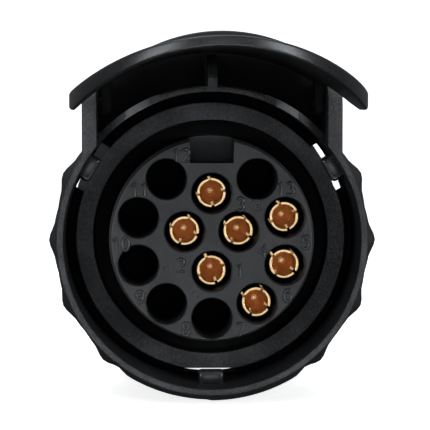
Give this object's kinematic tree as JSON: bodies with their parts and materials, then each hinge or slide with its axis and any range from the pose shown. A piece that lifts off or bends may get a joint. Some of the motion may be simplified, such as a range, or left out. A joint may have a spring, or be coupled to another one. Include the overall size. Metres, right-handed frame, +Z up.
{
  "type": "trailer wiring adapter",
  "caption": "Compact trailer lighting adapter: a round recessed socket with split brass contacts and a hinged bowed lid in front, and a round pin plug behind.",
  "frame": {"origin": "centre of the socket's contact face, on the socket axis", "axes": "-Y out of the socket towards the trailer's plug, +Y towards the vehicle plug, +Z up through the lid hinge, +X to the right seen from the socket side"},
  "size_m": [0.0615, 0.115, 0.0686],
  "materials": {
    "black_plastic": "fine spark-eroded texture",
    "lid_plastic": "smooth, semi-gloss",
    "carrier_plastic": "satin",
    "brass": "turned, bright",
    "steel": "zinc plated",
    "rubber": "matt",
    "wire_colour_1": "yellow wire insulation",
    "wire_colour_2": "blue wire insulation",
    "wire_colour_3": "white wire insulation",
    "wire_colour_4": "green wire insulation",
    "wire_colour_5": "brown wire insulation",
    "wire_colour_6": "red wire insulation",
    "wire_colour_7": "black wire insulation"
  },
  "bodies": {
    "adapter_body": {"socket_shell": "black_plastic", "plug_housing": "black_plastic", "socket_insert": "carrier_plastic", "contact_clamp_plate": "carrier_plastic", "plug_insert": "carrier_plastic", "pin_clamp_plate": "carrier_plastic", "insert_seal": "rubber", "housing_seal": "rubber", "hinge_pin_left": "black_plastic", "hinge_pin_right": "black_plastic", "socket_contact_1": "brass", "plug_pin_1": "brass", "link_wire_1": "wire_colour_1", "socket_contact_2": "brass", "plug_pin_2": "brass", "link_wire_2": "wire_colour_2", "socket_contact_3": "brass", "plug_pin_3": "brass", "link_wire_3": "wire_colour_3", "socket_contact_4": "brass", "plug_pin_4": "brass", "link_wire_4": "wire_colour_4", "socket_contact_5": "brass", "plug_pin_5": "brass", "link_wire_5": "wire_colour_5", "socket_contact_6": "brass", "plug_pin_6": "brass", "link_wire_6": "wire_colour_6", "socket_contact_7": "brass", "plug_pin_7": "brass", "link_wire_7": "wire_colour_7", "housing_screw_1": "steel", "housing_screw_2": "steel", "housing_screw_3": "steel"},
    "lid": {"lid": "lid_plastic"}
  },
  "joints": [
    {"name": "lid_hinge", "type": "hinge", "parent": "adapter_body", "child": "lid", "pos_m": [0, 0.0034, 0.0255], "axis": [1, 0, 0], "range_deg": [0, 90]}
  ]
}
